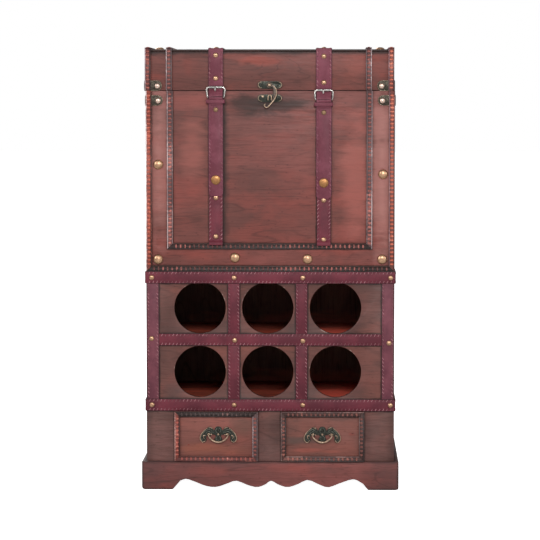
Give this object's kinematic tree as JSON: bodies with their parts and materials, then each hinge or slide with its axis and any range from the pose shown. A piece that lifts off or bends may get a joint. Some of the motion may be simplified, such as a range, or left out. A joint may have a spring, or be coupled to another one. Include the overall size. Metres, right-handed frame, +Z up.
{
  "type": "wine cabinet",
  "caption": "Trunk-style wine cabinet: lift-up strapped lid over a deep chest, a bottle rack with round holes, and small drawers on a scalloped skirt.",
  "frame": {"origin": "centre of the cabinet's bounding box, on the floor under its feet", "axes": "+Z up, -Y the front with the bottle holes, +X the viewer's right"},
  "size_m": [0.4636, 0.3424, 0.7983],
  "materials": {
    "stained_wood": "satin",
    "stained_panel": "satin",
    "inner_wood": "matt",
    "moulding": "satin",
    "leather": "satin",
    "bronze": "antiqued",
    "nickel": "polished",
    "brass": "polished"
  },
  "bodies": {
    "cabinet": {"side_panel_left": "stained_wood", "side_panel_right": "stained_wood", "back_panel": "inner_wood", "chest_front_panel": "stained_wood", "bottle_panel": "stained_panel", "drawer_face_panel": "stained_panel", "chest_floor": "inner_wood", "bottle_shelf": "inner_wood", "rack_floor": "inner_wood", "cabinet_floor": "inner_wood", "bottle_divider_left": "inner_wood", "bottle_divider_right": "inner_wood", "skirt_front": "stained_wood", "skirt_left": "stained_wood", "skirt_right": "stained_wood", "band_upper": "leather", "band_lower": "leather", "strap_lattice": "leather", "corner_post_left": "leather", "corner_post_right": "leather", "body_strap_left": "leather", "body_strap_right": "leather", "chest_outer_trim": "moulding", "chest_inner_trim": "moulding", "corner_plate_chest_left": "bronze", "corner_plate_chest_right": "bronze", "latch_catch": "bronze", "hinge_leaf_body_left": "brass", "hinge_leaf_body_right": "brass"},
    "lid": {"lid_top": "stained_wood", "lid_front": "stained_wood", "lid_back": "stained_wood", "lid_side_left": "stained_wood", "lid_side_right": "stained_wood", "lid_trim_outer_left": "moulding", "lid_trim_outer_right": "moulding", "lid_trim_inner_left": "moulding", "lid_trim_inner_right": "moulding", "corner_plate_lid_left": "bronze", "corner_plate_lid_right": "bronze", "latch_plate": "bronze", "lid_strap_left": "leather", "lid_strap_right": "leather", "hinge_leaf_lid_left": "brass", "hinge_leaf_lid_right": "brass"},
    "hook": {"latch_hook": "bronze"},
    "strap_left": {"strap_tongue_left": "leather", "buckle_left": "nickel"},
    "strap_right": {"strap_tongue_right": "leather", "buckle_right": "nickel"},
    "drawer_left": {"drawer_front_left": "stained_wood", "drawer_box_left": "inner_wood", "drawer_bottom_left": "inner_wood", "handle_plate_left": "bronze"},
    "bail_left": {"handle_bail_left": "bronze"},
    "drawer_right": {"drawer_front_right": "stained_wood", "drawer_box_right": "inner_wood", "drawer_bottom_right": "inner_wood", "handle_plate_right": "bronze"},
    "bail_right": {"handle_bail_right": "bronze"}
  },
  "joints": [
    {"name": "lid_hinge", "type": "hinge", "parent": "cabinet", "child": "lid", "pos_m": [0, 0.1678, 0.7196], "axis": [-1, 0, 0], "range_deg": [0, 100]},
    {"name": "latch_hook_swing", "type": "hinge", "parent": "lid", "child": "hook", "pos_m": [-0.0013, -0.1612, 0.7296], "axis": [0, -1, 0], "range_deg": [0, 90]},
    {"name": "strap_left_fold", "type": "hinge", "parent": "lid", "child": "strap_left", "pos_m": [-0.0976, -0.1572, 0.7196], "axis": [-1, 0, 0], "range_deg": [-45, 0]},
    {"name": "strap_right_fold", "type": "hinge", "parent": "lid", "child": "strap_right", "pos_m": [0.0968, -0.1572, 0.7196], "axis": [-1, 0, 0], "range_deg": [-45, 0]},
    {"name": "drawer_left_slide", "type": "slide", "parent": "cabinet", "child": "drawer_left", "axis": [0, -1, 0], "range_m": [0, 0.2]},
    {"name": "drawer_right_slide", "type": "slide", "parent": "cabinet", "child": "drawer_right", "axis": [0, -1, 0], "range_m": [0, 0.2]},
    {"name": "bail_left_swing", "type": "hinge", "parent": "drawer_left", "child": "bail_left", "pos_m": [-0.095, -0.1683, 0.1006], "axis": [-1, 0, 0], "range_deg": [0, 80]},
    {"name": "bail_right_swing", "type": "hinge", "parent": "drawer_right", "child": "bail_right", "pos_m": [0.097, -0.1683, 0.1006], "axis": [-1, 0, 0], "range_deg": [0, 80]}
  ],
  "couplings": [
    {"joint": "strap_left_fold", "follows": "lid_hinge", "ratio": -0.45},
    {"joint": "strap_right_fold", "follows": "lid_hinge", "ratio": -0.45}
  ]
}
